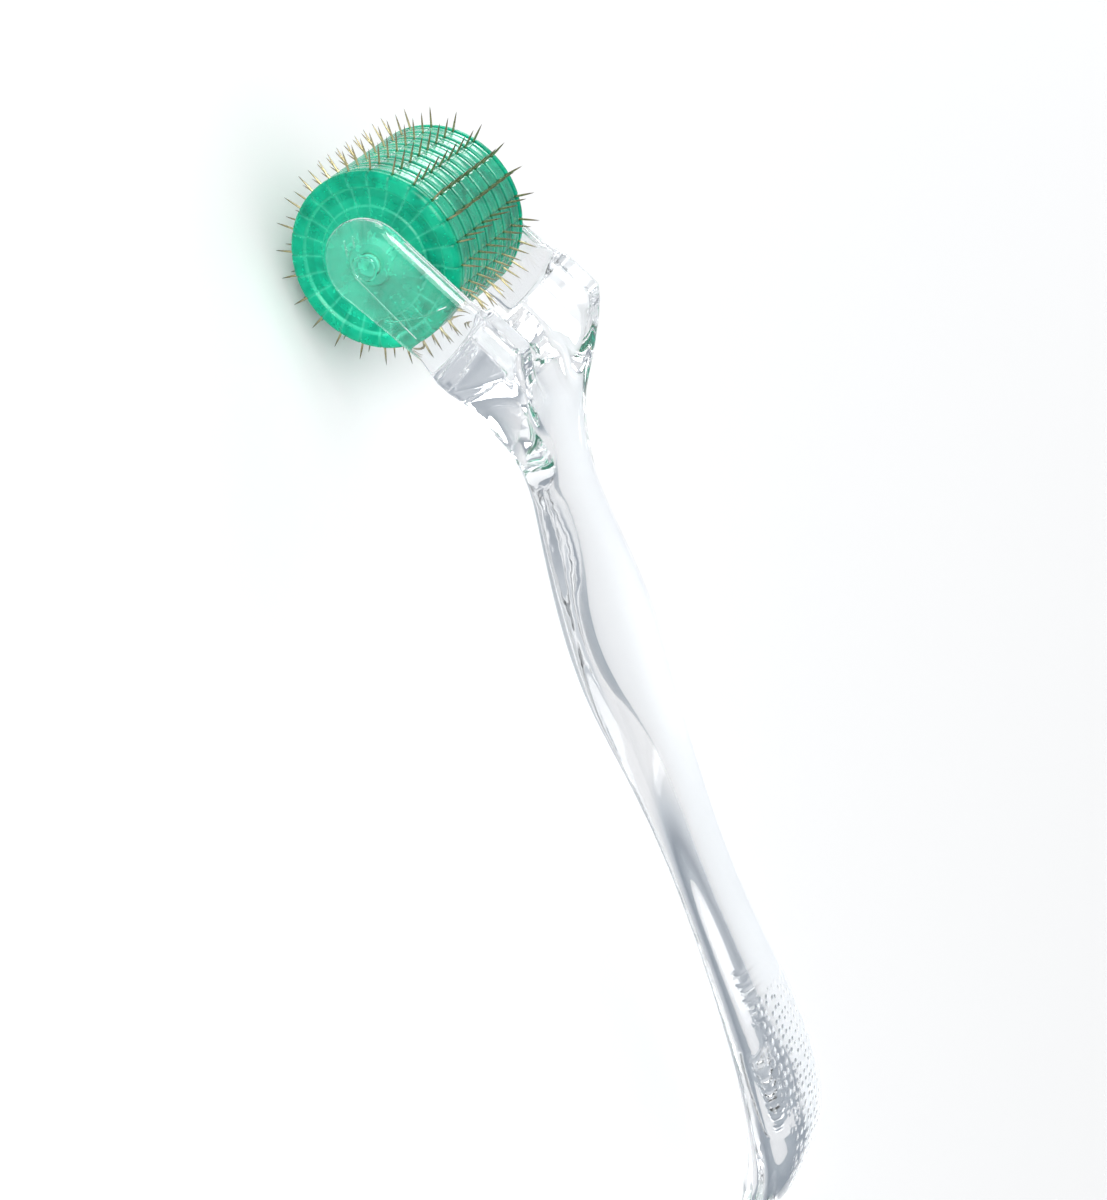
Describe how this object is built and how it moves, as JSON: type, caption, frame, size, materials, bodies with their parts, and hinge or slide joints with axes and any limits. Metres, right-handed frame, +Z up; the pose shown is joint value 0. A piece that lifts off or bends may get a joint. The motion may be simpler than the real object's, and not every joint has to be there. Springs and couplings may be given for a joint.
{
  "type": "derma roller",
  "caption": "Clear forked handle carrying a free-turning green drum studded with rings of fine radial needles.",
  "frame": {"origin": "centre of the bounding box at table level, with the tool lying on its lowest needle tips and the tip of its tail", "axes": "+X along the handle from the roller to the tail, +Y along the axle, +Z up from the table"},
  "size_m": [0.1496, 0.0266, 0.0279],
  "materials": {
    "clear_plastic": "clear polished moulding",
    "green_plastic": "translucent emerald moulding",
    "needle_steel": "gold-tinted polished needles"
  },
  "bodies": {
    "handle": {"handle": "clear_plastic", "axle": "green_plastic"},
    "roller": {"hub": "green_plastic", "end_cap_left": "green_plastic", "end_cap_right": "green_plastic", "spacer_disc_1": "green_plastic", "spacer_disc_2": "green_plastic", "spacer_disc_3": "green_plastic", "spacer_disc_4": "green_plastic", "spacer_disc_5": "green_plastic", "spacer_disc_6": "green_plastic", "spacer_disc_7": "green_plastic", "needle_ring_1": "needle_steel", "needle_ring_2": "needle_steel", "needle_ring_3": "needle_steel", "needle_ring_4": "needle_steel", "needle_ring_5": "needle_steel", "needle_ring_6": "needle_steel", "needle_ring_7": "needle_steel", "needle_ring_8": "needle_steel", "stack_pin_1": "green_plastic", "stack_pin_2": "green_plastic", "stack_pin_3": "green_plastic"}
  },
  "joints": [
    {"name": "roller_spin", "type": "hinge", "parent": "handle", "child": "roller", "pos_m": [-0.06138, 0, 0.01338], "axis": [0, 1, 0], "continuous": true}
  ]
}
